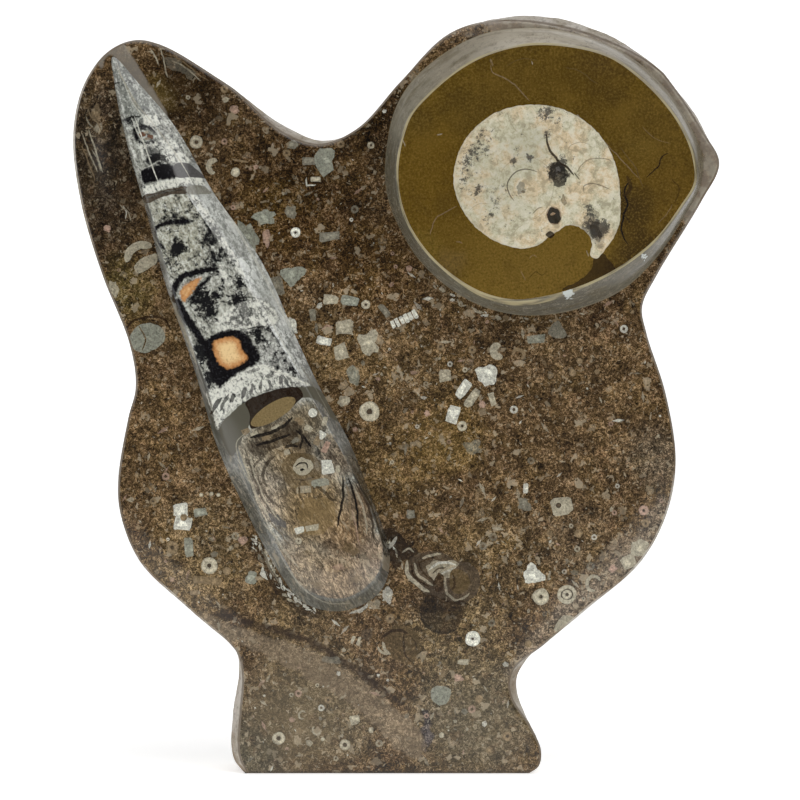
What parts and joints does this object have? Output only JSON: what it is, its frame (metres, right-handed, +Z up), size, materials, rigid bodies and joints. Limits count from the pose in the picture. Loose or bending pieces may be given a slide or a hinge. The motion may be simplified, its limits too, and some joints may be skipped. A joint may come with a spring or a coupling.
{
  "type": "orthoceras fossil",
  "caption": "Free-standing polished limestone slab with a straight orthoceras shell and a coiled goniatite in relief, on a flat sawn base.",
  "frame": {"origin": "middle of the footprint of the whole object, on the plane of the flat sawn base", "axes": "+Z up, the polished face with the fossils looks along -Y, +X to the right as seen from the front"},
  "size_m": [0.2582, 0.0644, 0.3027],
  "materials": {
    "fossil_limestone": "brown crinoidal limestone, polished on the front with rough sawn sides and back",
    "orthoceras_calcite": "polished black, grey and white calcite",
    "goniatite_fill": "polished olive brown mudstone with a cream calcite coil"
  },
  "bodies": {
    "root": {"limestone_slab": "fossil_limestone", "orthoceras": "orthoceras_calcite", "goniatite": "goniatite_fill"}
  },
  "joints": []
}
